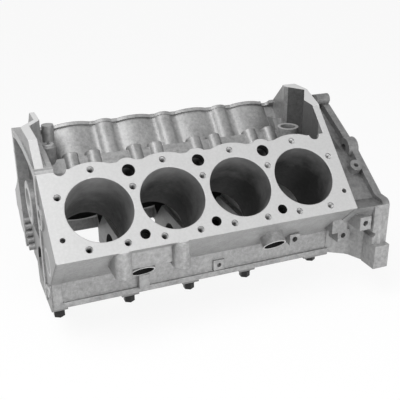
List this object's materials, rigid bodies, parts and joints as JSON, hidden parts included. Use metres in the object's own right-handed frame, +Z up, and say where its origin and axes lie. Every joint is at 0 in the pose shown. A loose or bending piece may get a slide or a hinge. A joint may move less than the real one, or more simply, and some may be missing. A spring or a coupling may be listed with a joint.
{
  "type": "engine block",
  "caption": "Bare cast-iron V-type engine block with machined decks, open cylinder bores, lifter valley, bell housing flange and bolted main bearing caps.",
  "frame": {"origin": "on the crankshaft axis, in the middle of the centre main bearing", "axes": "+X to the rear (flywheel end) along the crankshaft, +Y to the right-hand bank, +Z up"},
  "size_m": [0.609, 0.482, 0.3535],
  "materials": {
    "block_iron": "sand-cast, with machined faces and honed bores",
    "cap_iron": "cast and machined",
    "black_steel": "black oxide"
  },
  "bodies": {
    "root": {"cylinder_block": "block_iron", "main_cap_1": "cap_iron", "main_cap_2": "cap_iron", "main_cap_3": "cap_iron", "main_cap_4": "cap_iron", "main_cap_5": "cap_iron", "inner_main_bolts": "black_steel", "outer_main_bolts": "black_steel"}
  },
  "joints": []
}
